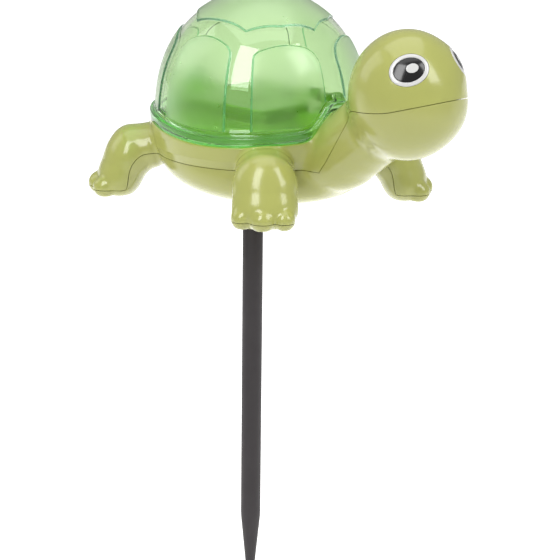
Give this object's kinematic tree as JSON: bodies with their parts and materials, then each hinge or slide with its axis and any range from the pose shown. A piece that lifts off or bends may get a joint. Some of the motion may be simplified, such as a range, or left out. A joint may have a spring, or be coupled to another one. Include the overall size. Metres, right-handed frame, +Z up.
{
  "type": "turtle garden stake light",
  "caption": "Turtle-shaped battery garden light: olive body in two halves, clear green domed shell over lamps, and a keyed push-in ground stake.",
  "frame": {"origin": "on the ground stake's axis, level with the flat soles of the four feet", "axes": "+X towards the head, +Y towards the turtle's left, +Z up; the stake points along -Z"},
  "size_m": [0.1768, 0.1194, 0.2823],
  "materials": {
    "clear_acrylic": "clear green, polished",
    "foam": "soft, matte",
    "steel": "zinc plated",
    "olive_plastic": "glossy, lightly moulded",
    "eye_white": "glossy",
    "eye_black": "glossy",
    "board": "lacquered board",
    "chip_black": "matte",
    "lamp_lens": "clear lens",
    "cell_jacket": "plain gloss jacket",
    "nickel": "nickel plated",
    "seal_rubber": "matte",
    "switch_black": "matte",
    "lead_red": "satin sleeve",
    "lead_black": "satin sleeve",
    "stake_plastic": "satin, charcoal"
  },
  "bodies": {
    "ground_stake": {"stake": "stake_plastic"},
    "turtle": {"clear_shell": "clear_acrylic", "shell_gasket": "foam", "shell_screws": "steel", "upper_body": "olive_plastic", "lower_body": "olive_plastic", "body_screws": "steel", "eye_whites": "eye_white", "eye_pupils": "eye_black", "eye_glints": "eye_white", "circuit_board": "board", "board_parts": "chip_black", "board_screws": "steel", "led_lamps": "lamp_lens", "battery_cells": "cell_jacket", "battery_springs": "nickel", "spring_plate": "nickel", "bridge_plate": "nickel", "switch_case": "switch_black", "switch_screws": "steel", "red_lead": "lead_red", "black_lead": "lead_black"},
    "switch": {"switch_slider": "switch_black"},
    "door": {"battery_door": "olive_plastic", "door_seal": "seal_rubber", "door_screw": "steel"}
  },
  "joints": [
    {"name": "turtle_lift", "type": "slide", "parent": "ground_stake", "child": "turtle", "axis": [0, 0, 1], "range_m": [0, 0.025]},
    {"name": "switch_slide", "type": "slide", "parent": "turtle", "child": "switch", "axis": [0, 1, 0], "range_m": [0, 0.003]},
    {"name": "door_drop", "type": "slide", "parent": "turtle", "child": "door", "axis": [0, 0, -1], "range_m": [0, 0.02]}
  ]
}
